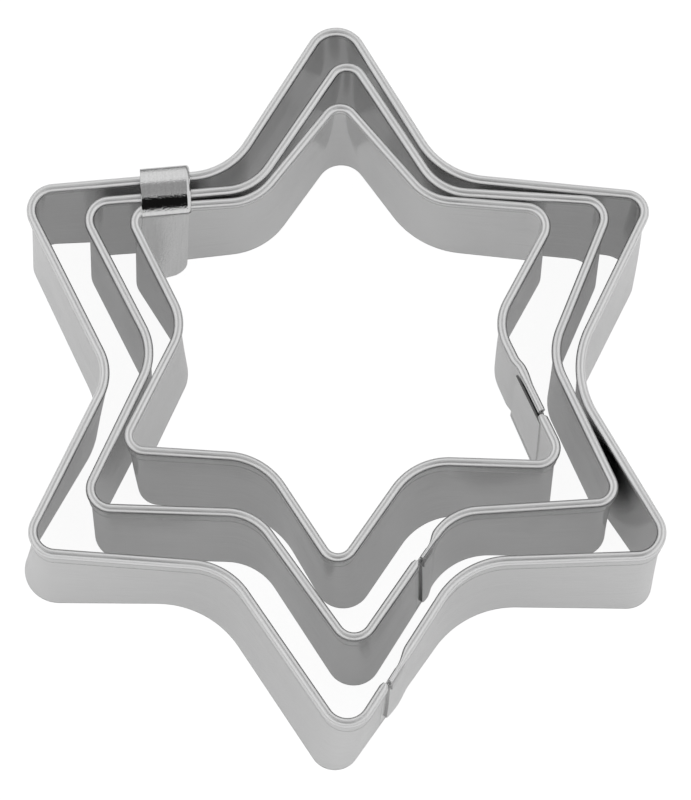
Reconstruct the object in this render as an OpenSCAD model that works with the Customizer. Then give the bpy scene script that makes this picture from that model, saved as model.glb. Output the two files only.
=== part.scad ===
// A nested set of three six-pointed star cutters, held together by a bent sheet-metal clip.
// Each cutter is one strip of sheet steel: its top edge is folded round into a hollow bead with a short
// hem flap outside, its lower edge cuts, and its ends overlap in a welded lap seam on one wall.
// Millimetres, cutting edges down on the plane z = 0, the front tips towards -Y.

/* [Strip] */
// Height of every cutter, from cutting edge to the top of the bead
cutter_h = 20; // [14:0.5:32]
// Thickness of the strip that the cutters are bent from
strip_t = 0.3; // [0.2:0.05:0.4]
// Width of the bead folded along the top edge
bead_d = 1.5; // [1.3:0.1:2]
// Height of the hem flap that shows below the bead on the outside
flap_h = 1.8; // [0.5:0.1:4]

/* [Stars] */
// Width of the outer cutter, from tip to opposite tip over the bead
outer_width = 90; // [80:1:110]
// How much narrower each cutter is than the next larger one
width_step = 15; // [13:0.5:18]
// Distance of a notch from the centre, as a share of that of a tip before rounding
notch_depth_share = 0.617; // [0.605:0.002:0.633]
// Bend radius of the tips, at the middle of the strip
tip_bend = 2.4; // [2:0.1:3]
// Bend radius of the outer cutter's notches
outer_notch_bend = 9; // [5:0.5:11]
// Bend radius of the middle cutter's notches
middle_notch_bend = 7; // [4:0.5:9]
// Bend radius of the inner cutter's notches
inner_notch_bend = 7; // [4:0.5:9]

/* [Nesting] */
// Room that even stars would keep between the outer and middle beads, pushed together at the back
middle_room = 0.05; // [0.05:0.05:0.6]
// The same between the middle and inner beads
inner_room = 0.15; // [0.1:0.05:0.6]
// How far the middle cutter lies to the right in the outer one, as a share of its free play there
middle_sway_share = 0.33; // [0.25:0.01:0.4]
// How far the inner cutter lies to the left in the middle one, as a share of its free play there
inner_sway_share = 0.37; // [0.3:0.01:0.4]
// Turn of the middle cutter, in degrees
middle_turn = 0.3; // [0.1:0.1:0.5]
// Turn of the inner cutter, in degrees
inner_turn = -0.6; // [-0.8:0.1:-0.4]

/* [Lap seam] */
// Length over which the strip's ends overlap
lap_len = 4.4; // [3.5:0.1:4.6]
// Part of the lap where the folded edge is pressed flat
press_len = 2.2; // [1.5:0.1:2.8]
// Gap between the end of the inner end's bead and the outer end's free edge
bead_gap = 0.5; // [0.3:0.1:1]
// Length of the step that brings the outer end back into line
joggle_len = 0.8; // [0.6:0.1:1]
// Radius of the free end's lower corner
lap_corner = 2.2; // [1:0.1:3]

/* [Clip] */
// Width of the strip that the clip is bent from
clip_w = 5.9; // [4:0.1:8]
// Thickness of that strip
clip_t = 0.4; // [0.3:0.05:0.6]
// Inner radius of the clip's two bends
clip_bend = 0.5; // [0.3:0.1:0.7]
// Clearance between the clip and the beads at its sides
clip_clear = 0.15; // [0.12:0.01:0.3]
// Clearance between the clip's crown and the tops of the beads
clip_seat = 0.1; // [0.05:0.01:0.2]
// Radius of the crown's arch over the beads, inside
crown_bow = 9; // [6:0.5:20]
// How far the clip's left edge stands past the start of the bend at the inner cutter's tip
clip_past = 0.4; // [0:0.1:0.8]
// Radius to which the front tongue is bowed
tongue_bow = 40; // [30:1:80]
// Height of the front tongue's end above the cutting edges
tongue_end = 3.4; // [2:0.1:8]
// Height of the back leg's end above the cutting edges
back_leg_end = 6; // [3:0.5:10]

/* [Hidden] */
$fn = 64;

// Uneven bending of the real strips. Each table goes anticlockwise from the back tip, tips and notches in
// turn. The reach of a corner and the radius of its bend are shares of the even star's, and its turn about
// the star's centre is in degrees.
outer_reach_shares = [1.015, 1.025, 0.995, 1.01, 0.975, 1.015, 1.045, 1, 1.025, 0.995, 0.975, 0.995];
outer_turns = [0.2, -3, -1, 1.6, 0, -0.6, 0.4, 2.2, -0.2, -1.4, 0.6, 3.4];
outer_bend_shares = [0.9, 1.3, 0.85, 0.85, 0.85, 0.95, 1.6, 0.75, 1.2, 1.05, 1.05, 0.9];
middle_reach_shares = [1.005, 1.02, 0.995, 1.02, 0.99, 1.005, 1.015, 1, 1, 1.045, 0.97, 0.995];
middle_turns = [-0.2, -1.6, -1, 1.6, 0.6, -0.4, 0.8, 0, -0.8, -3.2, 0.4, 2.6];
middle_bend_shares = [0.8, 0.95, 1.1, 1.05, 0.95, 0.9, 1.35, 0.85, 1, 1.15, 0.8, 0.9];
inner_reach_shares = [0.98, 1.035, 0.99, 1.015, 0.985, 0.985, 0.99, 0.985, 1.04, 1, 0.985, 1.055];
inner_turns = [0.6, 0.8, -0.4, -2, -0.2, 0.8, -0.2, -1.8, -1.2, 1.8, 1, -2.2];
inner_bend_shares = [0.8, 1.15, 0.7, 1.15, 0.75, 0.9, 1.1, 0.8, 0.95, 1.15, 0.9, 1.15];

// Wall that carries each lap seam, counted from the back tip, and where the lap lies within the room that it
// has along the straight stretch: 0 is next to the first bend, 1 next to the second
outer_seam_at = 6;
outer_seam_share = 0.23;
middle_seam_at = 6;
middle_seam_share = 0.98;
inner_seam_at = 8;
inner_seam_share = 0.53;

// Wall that the clip sits on, in every cutter
clip_wall = 1;

// Widths of the smaller cutters
middle_width = outer_width - width_step;
inner_width = middle_width - width_step;

// Overrun of every cut past the face that it leaves, and of each wall into its bends
cut = 0.1*strip_t;
// How much fuller a bend is than a wall on every face, since pressing thickens it
bend_swell = 0.03*strip_t;

// Heights of the bead's centre line and of the flap's lower edge
bead_z = cutter_h - bead_d/2;
flap_z = bead_z - bead_d/2 - flap_h;
// The bead is centred on the doubled strip, half a thickness outside the wall's middle
bead_out = strip_t/2;
// Radius of the folded edge where it is pressed flat to three thicknesses
press_r = 1.5*strip_t;
// Straight stretch that the lap seam takes, with a short run on either side
lap_room = bead_gap + lap_len + joggle_len + 2*strip_t;

// Half angle of an even star's tip, and the distance of a wall from the centre for a tip distance of one
tip_half_angle = atan2(notch_depth_share*sin(30), 1 - notch_depth_share*cos(30));
wall_share = notch_depth_share*sin(30)/norm([1 - notch_depth_share*cos(30), notch_depth_share*sin(30)]);

// Distance from an even star's centre to its sharp tip, for a width over the rounded tips and beads
function tip_reach(width) = width/2 - bead_d/2 - bead_out + tip_bend*(1/sin(tip_half_angle) - 1);

// Free play of a cutter to each side inside the next larger one
function play(larger, smaller) = (tip_reach(larger) - tip_reach(smaller))*wall_share - bead_d;

// Corners of one star, tips and notches in turn, anticlockwise from the back tip
function corners(width, reach_shares, turns, at, turn) = [
    for (i = [0:11])
        let (even_reach = tip_reach(width)*(i%2 == 0 ? 1 : notch_depth_share))
        let (a = 90 + turn + turns[i] + 30*i)
        at + even_reach*reach_shares[i]*along(a)
];

function along(a) = [cos(a), sin(a)];
function left_of(a) = [-sin(a), cos(a)];
// Direction of the wall from corner i to the next, in degrees, and the turn made at corner i
function heading(points, i) =
    let (d = points[(i + 1)%12] - points[i%12]) atan2(d.y, d.x);
function turn_at(points, i) =
    let (a = heading(points, i) - heading(points, i + 11)) a - 360*floor((a + 180)/360);
function half_turn_tan(points, i) = tan(abs(turn_at(points, i))/2);
function wall_length(points, i) = norm(points[(i + 1)%12] - points[i%12]);

// Bend radius at every corner. A notch's is limited by its walls, which keep the room for a lap.
function tip_radius(bend_shares, i) = tip_bend*bend_shares[i%12];
function notch_limit(points, bend_shares, i) =
    (min(
        wall_length(points, i) - tip_radius(bend_shares, i + 1)*half_turn_tan(points, i + 1),
        wall_length(points, i - 1) - tip_radius(bend_shares, i - 1)*half_turn_tan(points, i - 1)
    ) - lap_room)/half_turn_tan(points, i);
function radii(points, notch_bend, bend_shares) = [
    for (i = [0:11])
        i%2 == 0
            ? tip_radius(bend_shares, i)
            : min(notch_bend*bend_shares[i], notch_limit(points, bend_shares, i))
];
// Length taken from a wall by the bend at corner i
function setback(points, bends, i) = bends[i%12]*half_turn_tan(points, i);

// Middle of the outer star's rounded outline, which is the origin of the whole set
outer_plain = corners(outer_width, outer_reach_shares, outer_turns, [0, 0], 0);
outer_bends = radii(outer_plain, outer_notch_bend, outer_bend_shares);
function bend_centre(points, bends, i) =
    let (a = heading(points, i)) points[i] + setback(points, bends, i)*along(a) + bends[i]*left_of(a);
function far_side(points, bends, way) =
    max([for (i = [0:2:10]) bend_centre(points, bends, i)*way + bends[i]]);
set_middle = [
    far_side(outer_plain, outer_bends, [1, 0]) - far_side(outer_plain, outer_bends, [-1, 0]),
    far_side(outer_plain, outer_bends, [0, 1]) - far_side(outer_plain, outer_bends, [0, -1])
]/2;

outer_at = -set_middle;
// The smaller cutters are pushed back until only the room is left between the beads
middle_play = play(outer_width, middle_width);
inner_play = play(middle_width, inner_width);
middle_at = outer_at + [middle_sway_share*middle_play, middle_play - middle_room];
inner_at = middle_at + [-inner_sway_share*inner_play, inner_play - inner_room];

outer_points = corners(outer_width, outer_reach_shares, outer_turns, outer_at, 0);
middle_points = corners(middle_width, middle_reach_shares, middle_turns, middle_at, middle_turn);
inner_points = corners(inner_width, inner_reach_shares, inner_turns, inner_at, inner_turn);
middle_bends = radii(middle_points, middle_notch_bend, middle_bend_shares);
inner_bends = radii(inner_points, inner_notch_bend, inner_bend_shares);

// Section of the folded strip: x outward from the middle of the wall, y upward
module strip_section(swell = 0) {
    difference() {
        union() {
            translate([-strip_t/2 - swell, 0]) square([strip_t + 2*swell, bead_z]);
            translate([strip_t/2, flap_z - swell]) square([strip_t + swell, bead_z - flap_z + swell]);
            translate([bead_out, bead_z]) circle(bead_d/2 + swell);
        }
        translate([bead_out, bead_z]) circle(bead_d/2 - strip_t - swell);
    }
}

// A straight run of folded strip along +X from x = 0, its outside at -Y
module run(length) {
    rotate([90, 0, 90]) linear_extrude(length) mirror([1, 0]) strip_section();
}

// The bend at corner i, outward at a tip and inward at a notch
module bend(points, bends, i) {
    r = bends[i];
    came = heading(points, i + 11);
    leaves = heading(points, i);
    turn = turn_at(points, i);
    start = points[i] - setback(points, bends, i)*along(came);
    if (turn > 0)
        translate(start + r*left_of(came))
            rotate(came - 90) rotate_extrude(angle = turn)
                translate([r, 0]) strip_section(bend_swell);
    else
        translate(start - r*left_of(came))
            rotate(leaves + 90) rotate_extrude(angle = -turn)
                translate([r, 0]) mirror([1, 0]) strip_section(bend_swell);
}

// The free end of the outer layer, seen square to the wall, with its rounded lower corner
module lap_outline() {
    translate([lap_corner, 0]) square([lap_len - lap_corner, bead_z]);
    translate([0, lap_corner]) square([lap_len, bead_z - lap_corner]);
    translate([lap_corner, lap_corner]) circle(lap_corner);
}

// The lap itself, from the free edge of the outer layer at x = 0, the wall along +X and its outside at -Y
module lap() {
    translate([-bead_gap, -strip_t/2, 0]) cube([lap_len + bead_gap, strip_t, bead_z]);
    translate([0, -strip_t/2, 0]) rotate([90, 0, 0]) linear_extrude(strip_t) lap_outline();
    translate([0, -2.5*strip_t, flap_z]) cube([press_len, 3*strip_t, bead_z - flap_z]);
    translate([0, -strip_t, bead_z]) rotate([0, 90, 0]) cylinder(h = press_len, r = press_r);
    translate([press_len, -bead_out, bead_z])
        rotate([0, 90, 0]) cylinder(h = lap_len - press_len, r1 = press_r, r2 = bead_d/2);
    linear_extrude(bead_z)
        polygon([
            [lap_len, -strip_t/2],
            [lap_len, -1.5*strip_t],
            [lap_len + joggle_len, -strip_t/2]
        ]);
}

// What the step in the outer layer leaves open on the inside, past the inner layer's end
module joggle_recess() {
    linear_extrude(flap_z)
        polygon([
            [lap_len, strip_t/2 + cut],
            [lap_len, -strip_t/2],
            [lap_len + joggle_len, strip_t/2],
            [lap_len + joggle_len, strip_t/2 + cut]
        ]);
}

// A wall with the lap in it, which needs a run on either side, from x = 0 to x = length
module seam_wall(length, free_edge) {
    translate([free_edge, 0, 0]) {
        translate([-bead_gap, 0, 0]) mirror([1, 0, 0]) run(free_edge - bead_gap);
        lap();
        difference() {
            translate([lap_len, 0, 0]) run(length - free_edge - lap_len);
            joggle_recess();
        }
    }
}

// One star-shaped cutter on its twelve corner points
module cutter(points, bends, seam_at, seam_share) {
    for (i = [0:11]) {
        a = heading(points, i);
        start = setback(points, bends, i) - cut;
        length = wall_length(points, i) - start - setback(points, bends, i + 1) + cut;
        bend(points, bends, i);
        translate(points[i] + start*along(a)) rotate(a)
            if (i == seam_at)
                seam_wall(length, bead_gap + strip_t + (length - lap_room)*seam_share);
            else
                run(length);
    }
}

// The outer cutter, on whose rim the others are hung together
module outer_cutter() {
    color("lightgray") cutter(outer_points, outer_bends, outer_seam_at, outer_seam_share);
}

module middle_cutter() {
    color("silver") cutter(middle_points, middle_bends, middle_seam_at, middle_seam_share);
}

module inner_cutter() {
    color("gainsboro") cutter(inner_points, inner_bends, inner_seam_at, inner_seam_share);
}

// The clip stands square to the outer cutter's wall, its left edge by the bend at the inner cutter's tip
clip_heading = heading(outer_points, clip_wall);
clip_out = -left_of(clip_heading);
inner_wall_end = inner_points[clip_wall + 1]
    - setback(inner_points, inner_bends, clip_wall + 1)*along(heading(inner_points, clip_wall));
clip_along = (inner_wall_end - outer_points[clip_wall])*along(clip_heading) + clip_past - clip_w/2;
outer_wall_at = outer_points[clip_wall] + clip_along*along(clip_heading);

// Where a cutter's wall line lies at distance x along the clip, measured outward from the outer wall line
function wall_offset(points, x) =
    let (a = heading(points, clip_wall), q = points[clip_wall] - outer_wall_at - x*along(clip_heading))
    (q*left_of(a))/(clip_out*left_of(a));

// How far the beads' sides stand out of the straight where the clip reaches over the start of a bend
function bulge(r, over) = over > 0 ? r - sqrt(r*r - over*over) : 0;
notch_bulge = bulge(
    outer_bends[clip_wall] - bead_out - bead_d/2,
    setback(outer_points, outer_bends, clip_wall) - clip_along + clip_w/2
);
tip_bulge = bulge(inner_bends[clip_wall + 1] + bead_out - bead_d/2, clip_past);

// Inner faces of the clip's legs, across the beads
clip_back = bead_out + bead_d/2 + notch_bulge + clip_clear;
clip_front = min(wall_offset(inner_points, clip_w/2), wall_offset(inner_points, -clip_w/2))
    + bead_out - bead_d/2 - tip_bulge - clip_clear;

// Centre of the crown's arch, which just clears the two outermost beads, and where its bends begin
crown_at = (clip_back + clip_front)/2;
crown_half = (clip_back - clip_front)/2;
crown_z = bead_z
    - sqrt(pow(crown_bow - bead_d/2 - clip_seat, 2) - pow(crown_half - bead_d/2 - clip_clear, 2));
leg_z = crown_z + sqrt(pow(crown_bow - clip_bend, 2) - pow(crown_half - clip_bend, 2));
crown_half_angle = asin((crown_half - clip_bend)/(crown_bow - clip_bend));
crown_overrun = atan2(cut, crown_bow);
tongue_drop = leg_z - tongue_end;

// A piece of the clip bent round an axis along the wall, from one angle above the horizontal by another
module clip_arc(y, z, r, from_angle, by_angle, swell = 0) {
    translate([0, y, z]) rotate([90, 0, 90]) rotate(from_angle) rotate_extrude(angle = by_angle)
        translate([r - swell, -clip_w/2 - swell]) square([clip_t + 2*swell, clip_w + 2*swell]);
}

// Side view of the bowed tongue: x outward across the beads, y upward
module tongue_side() {
    translate([clip_front - tongue_bow - clip_t, leg_z])
        intersection() {
            difference() {
                circle(tongue_bow + clip_t);
                circle(tongue_bow);
            }
            translate([0, -tongue_drop]) square([tongue_bow + clip_t, tongue_drop + cut]);
        }
}

// Front view of a leg down to its rounded end: x along the wall, y upward
module rounded_strip(end_z, top_z) {
    translate([-clip_w/2, end_z + clip_w/2]) square([clip_w, top_z - end_z - clip_w/2]);
    translate([0, end_z + clip_w/2]) circle(clip_w/2);
}

// The holding clip, pushed over the three beads from above
module clip() {
    color("whitesmoke")
        translate(outer_wall_at) rotate(clip_heading + 180) {
            clip_arc(crown_at, crown_z, crown_bow, 90 - crown_half_angle - crown_overrun,
                2*crown_half_angle + 2*crown_overrun);
            clip_arc(clip_back - clip_bend, leg_z, clip_bend, 0, 90 - crown_half_angle, bend_swell);
            clip_arc(clip_front + clip_bend, leg_z, clip_bend, 90 + crown_half_angle,
                90 - crown_half_angle, bend_swell);
            translate([0, clip_back + clip_t, 0]) rotate([90, 0, 0])
                linear_extrude(clip_t) rounded_strip(back_leg_end, leg_z + cut);
            intersection() {
                translate([-clip_w/2, 0, 0]) rotate([90, 0, 90]) linear_extrude(clip_w) tongue_side();
                translate([0, clip_front + cut, 0]) rotate([90, 0, 0])
                    linear_extrude(tongue_bow) rounded_strip(tongue_end, leg_z + clip_bend);
            }
        }
}

outer_cutter();
middle_cutter();
inner_cutter();
clip();
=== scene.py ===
"""Finished look of a nested set of three star-shaped cutters of sheet steel and the clip on their rims."""

import math
from collections import namedtuple

import bpy
import numpy as np
from mathutils import Matrix, Vector


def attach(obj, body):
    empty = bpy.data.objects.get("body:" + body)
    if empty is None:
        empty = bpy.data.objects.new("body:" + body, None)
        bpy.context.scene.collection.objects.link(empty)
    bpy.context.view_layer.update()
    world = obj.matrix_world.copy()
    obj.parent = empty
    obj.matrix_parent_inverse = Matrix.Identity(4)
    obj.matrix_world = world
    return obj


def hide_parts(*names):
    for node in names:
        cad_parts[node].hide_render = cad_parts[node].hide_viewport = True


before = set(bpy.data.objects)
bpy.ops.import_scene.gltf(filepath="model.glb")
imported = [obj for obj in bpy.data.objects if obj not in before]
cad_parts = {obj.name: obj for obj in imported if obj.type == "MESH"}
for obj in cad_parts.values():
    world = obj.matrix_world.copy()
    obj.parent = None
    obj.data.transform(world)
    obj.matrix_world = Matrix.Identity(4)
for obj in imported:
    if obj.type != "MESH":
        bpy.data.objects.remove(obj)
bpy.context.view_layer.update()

# Sizes are in millimetres and angles in degrees, where nothing else is said. These ones are as in the
# part's source
MM = 0.001
CUTTER_H = 20.0
STRIP_T = 0.3
BEAD_D = 1.5
FLAP_H = 1.8
OUTER_WIDTH = 90.0
WIDTH_STEP = 15.0
NOTCH_DEPTH_SHARE = 0.617
TIP_BEND = 2.4
NOTCH_BENDS = (9.0, 7.0, 7.0)
TURNS = (0.0, 0.3, -0.6)
LAP_CORNER = 2.2
CLIP_W = 5.9
CLIP_T = 0.4
CLIP_BEND_R = 0.5
BACK_LEG_END = 6.0
TONGUE_END = 3.4
CLIP_WALL = 1
BEAD_OUT = STRIP_T/2
FLAP_Z = CUTTER_H - BEAD_D - FLAP_H

# Tips and notches of a star, and the angle from one to the next
CORNERS = 12
CORNER_STEP = 30

# From the largest cutter to the smallest
BODIES = ("outer", "middle", "inner")
NODES = ("outer_cutter", "middle_cutter", "inner_cutter")
CENTRES = ((-0.26, 0.36), (0.61, 2.95), (-0.37, 5.45))

# Uneven bending at the rim, from the back tip anticlockwise, tips and notches in turn: reach of each corner
# as a share of the even star's, turn about the centre, bend radius as a share of the even one
RIM_REACH_SHARES = (
    (1.025, 1.0225, 0.995, 0.9925, 0.985, 1.015, 1.0325, 1.01, 1.025, 0.975, 0.9675, 0.99),
    (1.0025, 1.0075, 0.99, 0.9925, 0.9975, 1.005, 1, 1.02, 0.9975, 1.04, 0.98, 0.9875),
    (0.9725, 1.03, 0.9825, 0.9975, 0.9925, 0.9875, 0.99, 0.99, 1.0425, 0.995, 0.9975, 1.055))
RIM_TURNS = (
    (0.6, -1.8, -0.4, 0.8, 0.8, 0.8, 0.8, 1.2, 0, -0.6, 0.4, 3.6),
    (-0.2, -1.6, -0.2, 0.4, 1.4, 0.8, 0.6, 0.8, -0.6, -1.2, 0.4, 1.4),
    (0.6, 2, -0.4, -2, 0.2, 0.4, -0.2, -0.8, -1.6, 3.8, 1.2, -1.8))
RIM_BEND_SHARES = (
    (1.3, 1, 1.15, 0.75, 1.1, 0.95, 1.2, 1.15, 1.2, 1.35, 0.9, 1.15),
    (0.8, 1, 1, 1.1, 1, 0.95, 0.95, 0.95, 0.8, 1.15, 0.95, 1),
    (0.75, 1, 0.75, 0.9, 0.75, 1.2, 0.8, 1.15, 0.85, 0.9, 1, 0.95))

# The same at the foot, which doesn't stand under the rim everywhere
FOOT_REACH_SHARES = (
    (0.9975, 0.99, 1, 1.02, 1.0475, 1.0175, 1.04, 1.0125, 1.04, 0.95, 0.955, 1),
    (0.9975, 1.005, 0.995, 0.99, 1.0075, 1.005, 1.04, 1.0075, 1.015, 1.035, 0.97, 0.9925),
    (1.005, 1.0275, 0.995, 0.96, 0.9825, 1.02, 1.055, 1.065, 1.03, 0.9975, 0.995, 1.06))
FOOT_TURNS = (
    (0, 0, -0.2, 1.4, -0.4, -3.8, -1, 2.2, -1, -6.2, -1.2, 0.2),
    (0.4, 0.2, 0, 2.6, 1.6, 2.4, 0.8, 2.2, -1.6, -1.2, -0.8, 0.2),
    (0, -1.4, 1, -3.4, 1.8, 5.6, 1, 0.2, -2.2, 6, 1.4, 1))
FOOT_BEND_SHARES = (
    (1, 1, 1.25, 1.2, 1.75, 1.35, 1.25, 1.35, 1.25, 1.8, 1.55, 1),
    (1, 1.05, 1.15, 0.85, 1.3, 1.05, 1.35, 1.2, 1.2, 0.9, 1.3, 1),
    (1.35, 1.3, 1.05, 0.7, 1.05, 1.5, 1.4, 1.2, 0.7, 0.8, 0.95, 1.65))

# A lap seam: its wall, the free edge's place along the straight and the gap back to the rim's other end, then
# counted from the free edge the lengths of the flattened rim, its widening, the lap and the offset's change,
# the foot's shift along the wall as a share of it, how far the flattening goes and where it presses to, and
# the top of the plain end under the lap with its distance from the wall
Seam = namedtuple("Seam", "wall free gap press widen lap change skew flat middle plain_top apart")
SEAMS = (
    Seam(wall=6, free=4.6, gap=0.6, press=2.15, widen=2.8, lap=2.15, change=2.8,
         skew=0.1, flat=0.7, middle=0.02, plain_top=18.3, apart=0.0),
    Seam(wall=6, free=10.95, gap=0.7, press=1.7, widen=2.1, lap=1.7, change=2.1,
         skew=0.045, flat=0.75, middle=0.02, plain_top=18.3, apart=0.0),
    Seam(wall=8, free=4.1, gap=0.5, press=3.1, widen=2.4, lap=6.0, change=1.6,
         skew=0.0, flat=0.3, middle=-0.1, plain_top=17.6, apart=0.1))

# Painted shade, standing in for the shade that falls in the seams' creases and gaps. Spots in the creases:
# distance from the free edge, height, their spreads and the depth
CREASE_SHADE_SPOTS = (
    ((1.6, 18.9, 0.3, 0.4, 1.0), (0.0, 17.4, 0.12, 0.9, 0.6)),
    ((0.9, 18.8, 0.3, 0.4, 1.0), (1.6, 19.0, 0.4, 0.35, 1.0)),
    ((-0.3, 18.8, 0.35, 0.6, 1.0), (0.3, 18.4, 0.3, 0.5, 0.9)))

# A painted shadow line down each free edge, where the gap beside it lies in shade, with its depth, its spread
# and how much of it is left at its upper end
EDGE_SHADOW = (0.6, 0.95, 0.7)
EDGE_SHADOW_SPREAD = 0.06
EDGE_SHADOW_TOP = 0.55

# Painted shade as a soft line under the rolled rim and on the top edge of a plain end that stands apart, and
# the darkest tone of the painted shade
RIM_SHADE = 0.42
RIM_SHADE_Z = 18.75
RIM_SHADE_SPREAD = 0.4
PLAIN_TOP_SHADE = 0.75
DARKEST_PAINTED_SHADE = 0.03

# The rolled rim: a nearly closed round on a short neck, a little nearer the front than the fitted wall lines.
# The strip counts as rim from the foot of the solids' bead upward
RIM_W = 1.2
RIM_R = (RIM_W - STRIP_T)/2
CAP_Z = CUTTER_H - RIM_W/2
RIM_LOW = CUTTER_H - BEAD_D
RIM_CLOSED = 0.8
NECK = 0.3
NECK_END = 0.02
RIM_SHIFT = -0.15

# The rim's other end is squeezed by half over a short length
END_SQUEEZE = 0.5
END_LENGTH = 0.5

# Rounding of the sheet's edges, the angle from which a mesh edge looks sharp, and the heights of the wall's
# points, of which the low ones rise where the lower corner is rounded off
EDGE_BULGE = 0.06
EDGE_SHARE = 0.6
SHARP_ANGLE = 50
LOW_ROWS = (EDGE_BULGE, 0.4, *np.linspace(0.8, 17.2, 8))
HIGH_ROWS = (17.8, 18.1)

# Spacing of the mesh rings along straight runs, round bends and along a lap, and rings of the plain end
STRAIGHT_STEP = 1.0
BEND_STEP = 0.3
LAP_STEP = 0.2
PLAIN_RINGS = 13

# Slight bowing of the walls along the strip: the largest cutter's seed, how many waves, their frequency and
# their height
FIRST_SEED = 11
WAVES = 6
WAVE_FREQUENCY = (0.06, 0.5)
WAVE_HEIGHT = (0.01, 0.03)

# The clip as pushed on: its centre along the wall, its legs' middle planes out from the wall, the radius of
# the crown's arch, the crown's top, the tongue's lean and the radius of its bow, and how far the strip runs
# aside for each millimetre of its length. Its long edges are thinner by a share of its thickness on either
# face, its ends are round and cut blunt at the last ring, and its back leg has so many points
CLIP_ALONG = 8.1
BACK_LEG_OUT = 1.55
TONGUE_OUT = -4.6
CROWN_R = 5.2
CROWN_TOP = 20.72
TONGUE_LEAN = 3.0
TONGUE_BOW = 80.0
CLIP_SLEW = 0.038
CLIP_EDGE_SHARE = 0.2
CLIP_BLUNT = 0.02
LEG_POINTS = 28

# A lip turned down along the crown's right edge: its length, reach and drop, the lengths over which it starts
# and ends, and where it begins across the strip, whose mesh points are given as shares of half the width
LIP_LEN = 7.6
LIP_OUT = 0.25
LIP_DROP = 0.2
LIP_STARTS = 0.8
LIP_ENDS = 1.5
LIP_FROM = 0.94
CLIP_ACROSS = (-1, -0.98, -0.95, -0.6, -0.3, 0, 0.3, 0.6, 0.9, 0.93, LIP_FROM, 0.97, 1)

# Camera at the photograph's viewing angle, and how far it sees in metres
CAMERA_AT = (-13.24, -380.44, 1131.61)
CAMERA_YAW = 2.047
CAMERA_DOWN = 71.273
CAMERA_ROLL = 1.977
CAMERA_LENS = 430.72
CAMERA_SENSOR = 36
CAMERA_REACH = 20

# Studio: a bright ceiling that dims towards the horizon, between two heights on a sphere of radius 1. It is
# dark round the camera and dim at a place high up behind the set: half angles of each cone's inner and outer
# edge, and the share of light left inside
CEILING_STRENGTH = 1.0
HORIZON_STRENGTH = 0.25
DIMMING = (0.03, 0.34)
CAMERA_CONE = (16, 21, 0.01)
OVERHEAD_CONE = (14, 24, 0.42)
OVERHEAD_RISE = 70

# How far the gloss and the tone of the steel vary, as shares, and its streaks' relief in metres
GLOSS_SPREAD = (0.75, 1.3)
TONE_SPREAD = (0.93, 1.07)
STREAK_DEPTH = 0.00002
STREAK_STRENGTH = 0.25

# A pale table: its radius in metres and its own tone, then the tone and the glow that the camera sees in its
# place and the glow that reflections see on it
TABLE_RADIUS = 0.45
TABLE_SIDES = 96
TABLE_TONE = 0.75
SEEN_TONE = 0.25
SEEN_GLOW = 0.93
REFLECTED_GLOW = 0.25


def turned(vector, angle):
    """The vector turned anticlockwise by an angle in radians."""
    c, s = math.cos(angle), math.sin(angle)
    return np.array([c*vector[0] - s*vector[1], s*vector[0] + c*vector[1]])


def smooth(t):
    """From 0 to 1 with a soft start and end, level outside them."""
    t = np.clip(t, 0, 1)
    return t*t*(3 - 2*t)


def arc(centre, radius, start, end, count):
    """Points of an arc, angles in radians."""
    t = np.linspace(start, end, count)
    return np.stack([centre[0] + radius*np.cos(t), centre[1] + radius*np.sin(t)], 1)


def blend(start, middle, end, count):
    """A curve that leaves start towards middle and comes into end from it."""
    t = np.linspace(0, 1, count)[:, None]
    return (1 - t)**2*np.array(start) + 2*t*(1 - t)*np.array(middle) + t*t*np.array(end)


def directions(line):
    """Unit vectors along a line at each of its points."""
    d = np.gradient(line, axis=0)
    return d/np.linalg.norm(d, axis=1)[:, None]


def tip_reach(width):
    """Distance of a sharp tip from the centre for a width over the rounded beads."""
    half_angle = math.atan2(NOTCH_DEPTH_SHARE*0.5, 1 - NOTCH_DEPTH_SHARE*math.cos(math.pi/6))
    return width/2 - BEAD_D/2 - BEAD_OUT + TIP_BEND*(1/math.sin(half_angle) - 1)


class Path:
    """A closed route of twelve corners, each rounded by a bend of its own radius."""

    def __init__(self, reach, reach_shares, turns, bends, at, turn):
        self.bends = bends
        self.corners = []
        at = np.array(at)
        for i in range(CORNERS):
            even = reach*(1 if i % 2 == 0 else NOTCH_DEPTH_SHARE)
            angle = math.radians(90 + turn + turns[i] + CORNER_STEP*i)
            self.corners.append(at + turned((even*reach_shares[i], 0), angle))

    def heading(self, i):
        """Direction of wall i in radians."""
        d = self.corners[(i + 1) % CORNERS] - self.corners[i % CORNERS]
        return math.atan2(d[1], d[0])

    def turn(self, i):
        """How far the route turns left at corner i."""
        return (self.heading(i) - self.heading(i - 1) + math.pi) % (2*math.pi) - math.pi

    def setback(self, i):
        """Distance from sharp corner i to where its bend begins."""
        return self.bends[i % CORNERS]*math.tan(abs(self.turn(i))/2)

    def straight(self, i):
        """Start and length of the straight stretch of wall i."""
        start = self.setback(i)
        whole = np.linalg.norm(self.corners[(i + 1) % CORNERS] - self.corners[i % CORNERS])
        return start, whole - start - self.setback(i + 1)

    def on_wall(self, i, share):
        """Point and direction at a share of wall i's straight stretch."""
        start, length = self.straight(i)
        a = self.heading(i)
        along = np.array([math.cos(a), math.sin(a)])
        return self.corners[i % CORNERS] + (start + share*length)*along, a

    def on_bend(self, i, share):
        """Point and direction at a share of the bend at corner i."""
        turn = self.turn(i)
        came = self.heading(i - 1)
        r = self.bends[i % CORNERS]*math.copysign(1, turn)
        start = self.corners[i % CORNERS] - turned((self.setback(i), 0), came)
        left = np.array([-math.sin(came), math.cos(came)])
        return start + r*left - turned(r*left, turn*share), came + turn*share


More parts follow.
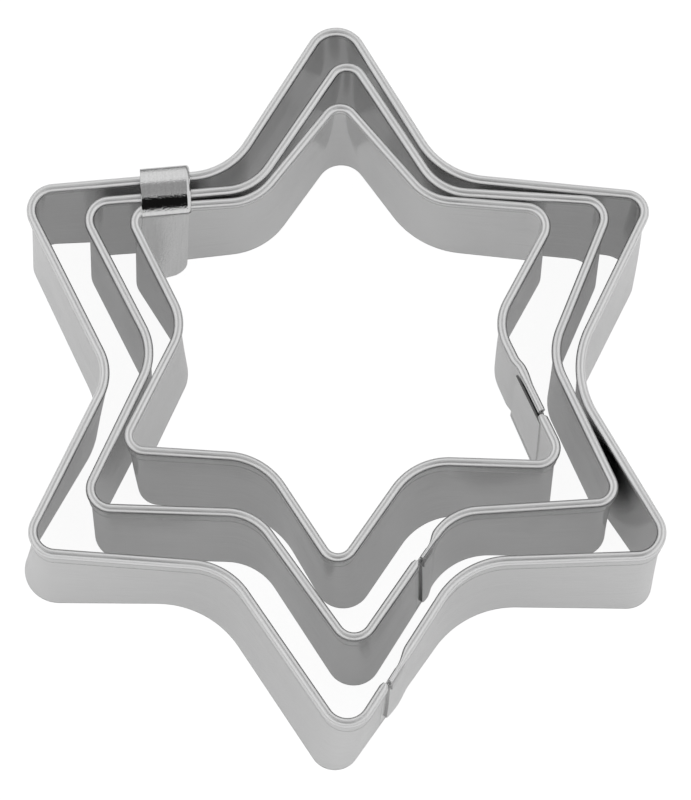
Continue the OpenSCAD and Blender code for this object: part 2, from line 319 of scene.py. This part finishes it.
def path(k, foot=False):
    """Rim or foot of cutter k."""
    tables = (RIM_REACH_SHARES, RIM_TURNS, RIM_BEND_SHARES)
    if foot:
        tables = (FOOT_REACH_SHARES, FOOT_TURNS, FOOT_BEND_SHARES)
    reach_shares, turns, shares = (table[k] for table in tables)
    bends = [shares[i]*(TIP_BEND if i % 2 == 0 else NOTCH_BENDS[k]) for i in range(CORNERS)]
    at = (CENTRES[k][0], CENTRES[k][1] + (0 if foot else RIM_SHIFT))
    return Path(tip_reach(OUTER_WIDTH - k*WIDTH_STEP), reach_shares, turns, bends, at, TURNS[k])


def mesh_object(name, rings, side_a, side_b, coords, painted_shade=None):
    """A closed solid from rings of points; the ends are closed between the ring's two sides."""
    count, size = rings.shape[:2]
    faces = []
    for i in range(count - 1):
        for j in range(size):
            k = (j + 1) % size
            faces.append((i*size + j, (i + 1)*size + j, (i + 1)*size + k, i*size + k))
    last = (count - 1)*size
    for j in range(len(side_a) - 1):
        a, b, c, d = side_a[j], side_a[j + 1], side_b[j + 1], side_b[j]
        faces.append((a, b, c, d))
        faces.append((last + d, last + c, last + b, last + a))
    mesh = bpy.data.meshes.new(name)
    mesh.from_pydata((rings.reshape(-1, 3)*MM).tolist(), [], faces)
    mesh.validate()
    layer = mesh.attributes.new("strip", "FLOAT_VECTOR", "POINT")
    layer.data.foreach_set("vector", coords.reshape(-1).astype(np.float32))
    # The painted shade's depth at each point, where it is given, goes on the mesh as an attribute
    if painted_shade is not None:
        layer = mesh.attributes.new("painted_shade", "FLOAT", "POINT")
        layer.data.foreach_set("value", painted_shade.reshape(-1).astype(np.float32))
    mesh.shade_smooth()
    mesh.set_sharp_from_angle(angle=math.radians(SHARP_ANGLE))
    mesh.update()
    piece = bpy.data.objects.new(name, mesh)
    bpy.context.scene.collection.objects.link(piece)
    return piece


def folded_line():
    """Middle line of the folded strip's section: up the wall, round the rolled rim and down the flap."""
    side = math.acos(BEAD_OUT/RIM_R)
    meet_z = CAP_Z - RIM_R*math.sin(side)
    neck_top, neck_z = meet_z - NECK_END, meet_z - NECK
    wall_z = np.array([*LOW_ROWS, *HIGH_ROWS, neck_z])
    wall = np.stack([np.zeros(len(wall_z)), wall_z], 1)
    cap = arc((BEAD_OUT, CAP_Z), RIM_R, math.pi + side*RIM_CLOSED, -side*RIM_CLOSED, 35)
    neck = blend((0, neck_z), (0, neck_top), cap[0], 6)[1:-1]
    far_neck = blend(cap[-1], (STRIP_T, neck_top), (STRIP_T, neck_z), 6)[1:]
    flap = np.stack([np.full(5, STRIP_T), np.linspace(neck_z - 0.25, FLAP_Z, 5)], 1)
    return np.concatenate([wall, neck, cap, far_neck, flap])


def plain_line(top):
    """Middle line of an unfolded strip's section."""
    z = np.concatenate([np.linspace(EDGE_BULGE, top - 0.5, 11), [top - 0.3, top - 0.15, top]])
    return np.stack([np.zeros(len(z)), z], 1)


def pressed_line(full, x, end, seam):
    """The folded section at a distance from the free edge: rim pressed flat, lower corner rounded off."""
    line = full.copy()
    if x < seam.press + seam.widen:
        squeeze = seam.flat*(1 - smooth((x - seam.press)/seam.widen))
    else:
        squeeze = END_SQUEEZE*smooth((x - end + END_LENGTH)/END_LENGTH)
    roll = line[:, 1] > RIM_LOW - NECK
    line[roll, 0] = seam.middle + (line[roll, 0] - seam.middle)*(1 - squeeze)
    if x < LAP_CORNER:
        lift = LAP_CORNER - math.sqrt(LAP_CORNER**2 - (LAP_CORNER - x)**2)
        z = line[:len(LOW_ROWS), 1].copy()
        line[:len(LOW_ROWS), 1] = lift + z*(1 - lift/z.max())
    return line


def thick(line):
    """The two faces of a sheet on its middle line, with a rounded edge at either end."""
    d = directions(line)
    n = np.stack([d[:, 1], -d[:, 0]], 1)
    half = STRIP_T/2
    a = line + n*half
    b = line - n*half
    end = line[-1] + d[-1]*EDGE_BULGE
    start = line[0] - d[0]*EDGE_BULGE
    end_side = n[-1]*half*EDGE_SHARE
    start_side = n[0]*half*EDGE_SHARE
    end_edge = [end + end_side, end - end_side]
    start_edge = [start - start_side, start + start_side]
    ring = np.concatenate([a, end_edge, b[::-1], start_edge])
    m = len(line)
    side_a = [2*m + 3, *range(m + 1)]
    side_b = [2*m + 2, *(2*m + 1 - j for j in range(m + 1))]
    return ring, side_a, side_b


def lean(z):
    """How far a height is from the foot's outline, 0, to the rim's, 1, which holds from the flap upward."""
    return np.clip(z/FLAP_Z, 0, 1)


def strip_rings(rim_path, foot_path, stations, line_of, seed, seam):
    """Rings of a strip. A station is its place on the star, its distance along the strip and its offset."""
    rings, coords = [], []
    rng = np.random.default_rng(seed)
    waves = [(rng.uniform(*WAVE_FREQUENCY), rng.uniform(0, 6.28), rng.uniform(*WAVE_HEIGHT))
             for _ in range(WAVES)]
    for kind, i, share, s, offset in stations:
        rim, rim_a = getattr(rim_path, "on_" + kind)(i, share)
        low = share
        if kind == "wall" and i == seam.wall:
            low = share + seam.skew*4*share*(1 - share)
        foot, foot_a = getattr(foot_path, "on_" + kind)(i, low)
        ring, side_a, side_b = thick(line_of(s))
        u, z = ring[:, 0] + offset, ring[:, 1]
        w = lean(z)[:, None]
        bow = sum(amp*math.sin(f*s + p) for f, p, amp in waves)
        u = u + bow*np.sin(math.pi*lean(z))
        n_rim = np.array([math.sin(rim_a), -math.cos(rim_a)])
        n_foot = np.array([math.sin(foot_a), -math.cos(foot_a)])
        flat = w*(rim + u[:, None]*n_rim) + (1 - w)*(foot + u[:, None]*n_foot)
        rings.append(np.column_stack([flat, z]))
        coords.append(np.column_stack([np.full(len(z), s), z, u]))
    return np.array(rings), np.array(coords), side_a, side_b


def folded_stations(rim_path, seam):
    """Stations of the folded strip from its free edge all the way round, and the strip's length."""
    length = rim_path.straight(seam.wall)[1]
    stations = []
    s = max(seam.press + seam.widen, seam.lap + seam.change)
    for x in [0, 0.04, 0.12, *np.linspace(0.25, s, round((s - 0.25)/LAP_STEP))]:
        offset = STRIP_T*(1 - smooth((x - seam.lap)/seam.change))
        stations.append(("wall", seam.wall, (seam.free + x)/length, x, offset))
    t = (seam.free + s)/length
    rest = (1 - t)*length
    steps = max(1, round(rest/STRAIGHT_STEP))
    for k in range(1, steps):
        stations.append(("wall", seam.wall, t + (1 - t)*k/steps, s + rest*k/steps, 0))
    s += rest
    for j in range(1, CORNERS + 1):
        i = (seam.wall + j) % CORNERS
        bend_len = rim_path.bends[i]*abs(rim_path.turn(i))
        steps = max(10, round(bend_len/BEND_STEP))
        for k in range(steps + 1):
            stations.append(("bend", i, k/steps, s + bend_len*k/steps, 0))
        s += bend_len
        if j == CORNERS:
            break
        run = rim_path.straight(i)[1]
        steps = max(1, round(run/STRAIGHT_STEP))
        for k in range(1, steps):
            stations.append(("wall", i, k/steps, s + run*k/steps, 0))
        s += run
    run = seam.free - seam.gap
    near_end = [run - 0.45, run - 0.3, run - 0.15, run - 0.05, run]
    steps = max(2, round(near_end[0]/STRAIGHT_STEP))
    for x in [near_end[0]*k/steps for k in range(1, steps)] + near_end:
        stations.append(("wall", seam.wall, x/length, s + x, 0))
    return stations, s + run


def painted_shade_depth(coords, spots, edge, end, gap):
    """Depth of painted shade on the strip: round spots in the seams' creases, a line down the free edge and
    one under the rim.
    """
    x, z = coords[..., 0], coords[..., 1]
    x = np.where(x > end/2, x - end - gap, x)
    depth = RIM_SHADE*np.exp(-((z - RIM_SHADE_Z)/RIM_SHADE_SPREAD)**2)
    for spot_x, spot_z, wide, tall, deep in spots:
        depth = np.maximum(depth, deep*np.exp(-((x - spot_x)/wide)**2 - ((z - spot_z)/tall)**2))
    left = EDGE_SHADOW_TOP + (1 - EDGE_SHADOW_TOP)*smooth((FLAP_Z - z)/FLAP_Z)
    line = edge*np.exp(-(x/EDGE_SHADOW_SPREAD)**2)*left
    return np.where(z < RIM_LOW, np.maximum(depth, line), depth)


def cutter(name, rim_path, foot_path, seam, spots, edge, seed):
    """One cutter: the folded strip from its free end all the way round, and the plain end under the lap."""
    stations, end = folded_stations(rim_path, seam)
    full = folded_line()
    rings, coords, side_a, side_b = strip_rings(
        rim_path, foot_path, stations, lambda x: pressed_line(full, x, end, seam), seed, seam)
    # Painted shade in the seam's creases, down the free edge and under the rolled rim
    painted_shade = painted_shade_depth(coords, spots, edge, end, seam.gap)
    folded = mesh_object(name, rings, side_a, side_b, coords, painted_shade)
    length = rim_path.straight(seam.wall)[1]
    under = []
    for x in np.linspace(-seam.gap - STRIP_T, seam.lap, PLAIN_RINGS):
        under.append(("wall", seam.wall, (seam.free + x)/length, x, -seam.apart))
    rings, coords, side_a, side_b = strip_rings(
        rim_path, foot_path, under, lambda x: plain_line(seam.plain_top), seed, seam)
    painted_shade = painted_shade_depth(coords, spots, 0, end, seam.gap)
    # Painted shade on the top edge of a plain end that stands apart from the folded strip
    painted_shade[coords[..., 1] > seam.plain_top - 0.02] = PLAIN_TOP_SHADE if seam.apart else 0
    plain = mesh_object(name + "_lap", rings, side_a, side_b, coords, painted_shade)
    return folded, plain


def clip_line():
    """The clip's middle line from the back leg's end over the crown to the tongue's end."""
    middle, half = (BACK_LEG_OUT + TONGUE_OUT)/2, (BACK_LEG_OUT - TONGUE_OUT)/2
    crown_z = CROWN_TOP - CLIP_T/2 - CROWN_R
    spread = math.asin((half - CLIP_BEND_R)/(CROWN_R - CLIP_BEND_R))
    leg_z = crown_z + (CROWN_R - CLIP_BEND_R)*math.cos(spread)
    up = math.pi/2
    leg = [(BACK_LEG_OUT, z) for z in np.linspace(BACK_LEG_END, leg_z, LEG_POINTS)]
    back_bend = arc((BACK_LEG_OUT - CLIP_BEND_R, leg_z), CLIP_BEND_R, 0, up - spread, 8)[1:]
    crown = arc((middle, crown_z), CROWN_R, up - spread, up + spread, 30)[1:]
    lean_in = math.radians(TONGUE_LEAN)
    front_at = (TONGUE_OUT + CLIP_BEND_R, leg_z)
    front_bend = arc(front_at, CLIP_BEND_R, up + spread, math.pi - lean_in, 8)[1:]
    out, top = front_bend[-1]
    drops = np.linspace(0, top - TONGUE_END, 34)[1:]
    tongue = [(out - d*math.tan(lean_in) - d*d/2/TONGUE_BOW, top - d) for d in drops]
    return np.concatenate([leg, back_bend, crown, front_bend, tongue])


def clip(outer):
    """The bent clip: one strip over the three rims, its crown arched and its front tongue leaning in."""
    a = outer.heading(CLIP_WALL)
    along = np.array([math.cos(a), math.sin(a)])
    out = np.array([math.sin(a), -math.cos(a)])
    at = outer.corners[CLIP_WALL] + CLIP_ALONG*along
    line = clip_line()
    d = directions(line)
    n = np.stack([-d[:, 1], d[:, 0]], 1)
    length = np.concatenate([[0], np.cumsum(np.linalg.norm(np.diff(line, axis=0), axis=1))])
    crown_start = length[LEG_POINTS - 1]
    half_w = CLIP_W/2
    rings, coords = [], []
    for p, m, q in zip(line, n, length):
        near = min(q, length[-1] - q)
        w = half_w if near > half_w else math.sqrt(max(half_w**2 - (half_w - near)**2, CLIP_BLUNT))
        lipped = smooth((q - crown_start)/LIP_STARTS)*smooth((crown_start + LIP_LEN - q)/LIP_ENDS)
        ring, coord = [], []
        for side, order in ((-1, CLIP_ACROSS), (1, CLIP_ACROSS[::-1])):
            for x in order:
                inset = 0 if abs(x) < 1 else CLIP_T*CLIP_EDGE_SHARE
                lip = lipped*smooth((x - LIP_FROM)/(1 - LIP_FROM))
                v = p[0] + side*m[0]*(CLIP_T/2 - inset)
                z = p[1] + side*m[1]*(CLIP_T/2 - inset) - LIP_DROP*lip
                flat = at + out*v + along*(CLIP_SLEW*(q - crown_start) - x*w - LIP_OUT*lip)
                ring.append((flat[0], flat[1], z))
                coord.append((x*w, q, side))
        rings.append(ring)
        coords.append(coord)
    size = len(CLIP_ACROSS)
    side_a = list(range(size))
    side_b = [2*size - 1 - j for j in range(size)]
    return mesh_object("clip_strip", np.array(rings), side_a, side_b, np.array(coords))


def made(tree, kind, **values):
    """A node with its inputs set by name, where an underscore stands for a space."""
    fresh = tree.nodes.new(kind)
    for key, value in values.items():
        fresh.inputs[key.replace("_", " ")].default_value = value
    return fresh


def attribute(tree, name, output):
    """An output of a node that reads one of the mesh's attributes."""
    fresh = tree.nodes.new("ShaderNodeAttribute")
    fresh.attribute_name = name
    return fresh.outputs[output]


def part(tree, vector, axis):
    """One part of a vector: X, Y or Z."""
    split = tree.nodes.new("ShaderNodeSeparateXYZ")
    tree.links.new(vector, split.inputs["Vector"])
    return split.outputs[axis]


def noise(tree, vector, scale, detail, roughness):
    """A cloudy pattern between 0 and 1."""
    fresh = made(tree, "ShaderNodeTexNoise", Scale=scale, Detail=detail, Roughness=roughness)
    tree.links.new(vector, fresh.inputs["Vector"])
    return fresh.outputs["Fac"]


def ranged(tree, value, before, after, interpolation="LINEAR"):
    """The value taken from one range to another and held at its ends."""
    ends = {"From_Min": before[0], "From_Max": before[1], "To_Min": after[0], "To_Max": after[1]}
    fresh = made(tree, "ShaderNodeMapRange", **ends)
    fresh.interpolation_type = interpolation
    tree.links.new(value, fresh.inputs["Value"])
    return fresh.outputs["Result"]


def worked_out(tree, operation, *terms):
    """The result of a sum whose terms are numbers or other nodes' outputs."""
    fresh = tree.nodes.new("ShaderNodeMath")
    fresh.operation = operation
    for socket, term in zip(fresh.inputs, terms):
        if isinstance(term, bpy.types.NodeSocket):
            tree.links.new(term, socket)
        else:
            socket.default_value = term
    return fresh.outputs["Value"]


def bumped(tree, value, strength, distance, under=None):
    """A surface normal raised and lowered by a value, on top of another one if it is given."""
    fresh = made(tree, "ShaderNodeBump", Strength=strength, Distance=distance)
    tree.links.new(value, fresh.inputs["Height"])
    if under is not None:
        tree.links.new(under, fresh.inputs["Normal"])
    return fresh.outputs["Normal"]


def joined(tree, kind, first, second, share=None):
    """Two shaders added, or mixed by the share of the second one."""
    fresh = tree.nodes.new(kind)
    if share is not None:
        tree.links.new(share, fresh.inputs["Fac"])
    tree.links.new(first, fresh.inputs[-2])
    tree.links.new(second, fresh.inputs[-1])
    return fresh.outputs["Shader"]


def grey(tone):
    """An opaque grey."""
    return tone, tone, tone, 1


def steel(name, tone, roughness, streak_scale, grain_scale, grain_depth, rim=None):
    """Rolled sheet steel: fine streaks along the strip, cloudy gloss, small specks.

    Steel with a rolled rim has there an added roughness and a lighter tone as a share of the wall's, a
    painted highlight, and it takes the mesh's painted shade, which darkens its colour and lowers its metallic
    reflection."""
    material = bpy.data.materials.new(name)
    material.use_nodes = True
    tree = material.node_tree
    shader = tree.nodes["Principled BSDF"]
    shader.inputs["Metallic"].default_value = 1
    shader.inputs["Specular IOR Level"].default_value = 1
    strip = attribute(tree, "strip", "Vector")
    stretch = made(tree, "ShaderNodeMapping", Scale=streak_scale)
    tree.links.new(strip, stretch.inputs["Vector"])
    streaks = noise(tree, stretch.outputs["Vector"], scale=1.0, detail=4.0, roughness=0.6)
    clouds = noise(tree, strip, scale=0.14, detail=3.0, roughness=0.55)
    grain = noise(tree, strip, scale=grain_scale, detail=2.0, roughness=0.6)
    rough = ranged(tree, clouds, (0.3, 0.7), [roughness*share for share in GLOSS_SPREAD])
    shade = ranged(tree, worked_out(tree, "ADD", streaks, grain), (0.7, 1.3), TONE_SPREAD)
    if rim is not None:
        on_rim = ranged(tree, part(tree, strip, "Y"), (RIM_LOW, CAP_Z), (0, 1))
        rough = worked_out(tree, "MULTIPLY_ADD", on_rim, rim[0], rough)
        # Painted highlight: the rolled rim's colour is made lighter by the second number in rim, standing in
        # for the bright light that the bead reflects
        shade = worked_out(tree, "MULTIPLY", shade, ranged(tree, on_rim, (0, 1), (1, rim[1])))
        # Painted shade: the mesh's attribute darkens the colour and takes away the metallic reflection and
        # specular level there
        unshaded = ranged(tree, attribute(tree, "painted_shade", "Fac"), (0, 1), (1, DARKEST_PAINTED_SHADE))
        shade = worked_out(tree, "MULTIPLY", shade, unshaded)
        tree.links.new(unshaded, shader.inputs["Metallic"])
        tree.links.new(unshaded, shader.inputs["Specular IOR Level"])
    tint = tree.nodes.new("ShaderNodeVectorMath")
    tint.operation = "SCALE"
    tint.inputs[0].default_value = (tone, tone, tone)
    tree.links.new(shade, tint.inputs["Scale"])
    tree.links.new(tint.outputs["Vector"], shader.inputs["Base Color"])
    tree.links.new(rough, shader.inputs["Roughness"])
    normal = bumped(tree, streaks, STREAK_STRENGTH, STREAK_DEPTH)
    tree.links.new(bumped(tree, grain, 1.0, grain_depth, normal), shader.inputs["Normal"])
    return material


def camera_axes():
    """The camera's right, up and forward directions."""
    yaw, down, roll = (math.radians(v) for v in (CAMERA_YAW, CAMERA_DOWN, CAMERA_ROLL))
    forward = Vector((math.sin(yaw)*math.cos(down), math.cos(yaw)*math.cos(down), -math.sin(down)))
    right = forward.cross(Vector((0, 0, 1))).normalized()
    up = right.cross(forward)
    turned_right = right*math.cos(roll) + up*math.sin(roll)
    turned_up = up*math.cos(roll) - right*math.sin(roll)
    return turned_right, turned_up, forward


def add_camera():
    """The camera that sees the set as the photograph does."""
    data = bpy.data.cameras.new("camera")
    data.sensor_width = CAMERA_SENSOR
    data.lens = CAMERA_LENS
    data.clip_end = CAMERA_REACH
    right, up, forward = camera_axes()
    camera = bpy.data.objects.new("camera", data)
    matrix = Matrix((right, up, -forward)).transposed().to_4x4()
    matrix.translation = Vector(CAMERA_AT)*MM
    camera.matrix_world = matrix
    bpy.context.scene.collection.objects.link(camera)
    bpy.context.scene.camera = camera


def dimmed(tree, level, where, direction, inner, outer, low):
    """The light level, lowered within a cone given by its half angles."""
    facing = tree.nodes.new("ShaderNodeVectorMath")
    facing.operation = "DOT_PRODUCT"
    facing.inputs[1].default_value = direction
    tree.links.new(where, facing.inputs[0])
    edges = (math.cos(math.radians(outer)), math.cos(math.radians(inner)))
    cone = ranged(tree, facing.outputs["Value"], edges, (1, low), "SMOOTHSTEP")
    return worked_out(tree, "MULTIPLY", level, cone)


def add_world():
    """The light from all round. What the camera sees directly of it is white."""
    world = bpy.data.worlds.new("studio")
    bpy.context.scene.world = world
    world.use_nodes = True
    tree = world.node_tree
    tree.nodes.clear()
    where = tree.nodes.new("ShaderNodeTexCoord").outputs["Generated"]
    strengths = (HORIZON_STRENGTH, CEILING_STRENGTH)
    level = ranged(tree, part(tree, where, "Z"), DIMMING, strengths, "SMOOTHSTEP")
    rise = math.radians(OVERHEAD_RISE)
    level = dimmed(tree, level, where, -camera_axes()[2], *CAMERA_CONE)
    level = dimmed(tree, level, where, Vector((0, math.cos(rise), math.sin(rise))), *OVERHEAD_CONE)
    light = tree.nodes.new("ShaderNodeBackground")
    tree.links.new(level, light.inputs["Strength"])
    white = made(tree, "ShaderNodeBackground", Color=grey(1))
    seen = tree.nodes.new("ShaderNodeLightPath").outputs["Is Camera Ray"]
    mix = joined(tree, "ShaderNodeMixShader", light.outputs["Background"], white.outputs["Background"], seen)
    output = tree.nodes.new("ShaderNodeOutputWorld")
    tree.links.new(mix, output.inputs["Surface"])


def add_floor():
    """A pale table. What the camera sees of it is nearly white, and keeps a faint shadow."""
    corners = [(TABLE_RADIUS*math.cos(a), TABLE_RADIUS*math.sin(a), 0)
               for a in np.linspace(0, 2*math.pi, TABLE_SIDES, endpoint=False)]
    mesh = bpy.data.meshes.new("table")
    mesh.from_pydata(corners, [], [tuple(range(TABLE_SIDES))])
    table = bpy.data.objects.new("table", mesh)
    bpy.context.scene.collection.objects.link(table)
    material = bpy.data.materials.new("table")
    material.use_nodes = True
    tree = material.node_tree
    tree.nodes.clear()
    rays = tree.nodes.new("ShaderNodeLightPath").outputs
    matt = made(tree, "ShaderNodeBsdfDiffuse", Color=grey(TABLE_TONE)).outputs["BSDF"]
    sheen = made(tree, "ShaderNodeEmission", Color=grey(REFLECTED_GLOW))
    tree.links.new(rays["Is Glossy Ray"], sheen.inputs["Strength"])
    lighting = joined(tree, "ShaderNodeAddShader", matt, sheen.outputs["Emission"])
    shadowed = made(tree, "ShaderNodeBsdfDiffuse", Color=grey(SEEN_TONE)).outputs["BSDF"]
    glow = made(tree, "ShaderNodeEmission", Strength=SEEN_GLOW).outputs["Emission"]
    seen = joined(tree, "ShaderNodeAddShader", shadowed, glow)
    direct = worked_out(tree, "MAXIMUM", rays["Is Camera Ray"], rays["Is Transmission Ray"])
    mix = joined(tree, "ShaderNodeMixShader", lighting, seen, direct)
    output = tree.nodes.new("ShaderNodeOutputMaterial")
    tree.links.new(mix, output.inputs["Surface"])
    mesh.materials.append(material)


add_camera()
add_world()
add_floor()

# On the rolled rim the roughness rises by 0.2, and its colour is made 1.25 times lighter as a painted
# highlight
cutter_steel = steel("cutter_steel", tone=0.72, roughness=0.18, streak_scale=(0.12, 7.0, 1.0),
                     grain_scale=9.0, grain_depth=0.000003, rim=(0.2, 1.25))
clip_steel = steel("clip_steel", tone=0.78, roughness=0.05, streak_scale=(4.0, 0.15, 1.0),
                   grain_scale=4.0, grain_depth=0.000018)

rims = [path(k) for k in range(3)]
feet = [path(k, True) for k in range(3)]
for k, (cad_node, body) in enumerate(zip(NODES, BODIES)):
    pieces = cutter(body + "_star", rims[k], feet[k], SEAMS[k], CREASE_SHADE_SPOTS[k], EDGE_SHADOW[k], FIRST_SEED + k)
    for piece in pieces:
        piece.data.materials.append(cutter_steel)
        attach(piece, body)
        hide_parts(cad_node)
holder = clip(rims[0])
holder.data.materials.append(clip_steel)
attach(holder, "holder")
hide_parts("clip")

bpy.context.scene.view_settings.view_transform = "Standard"
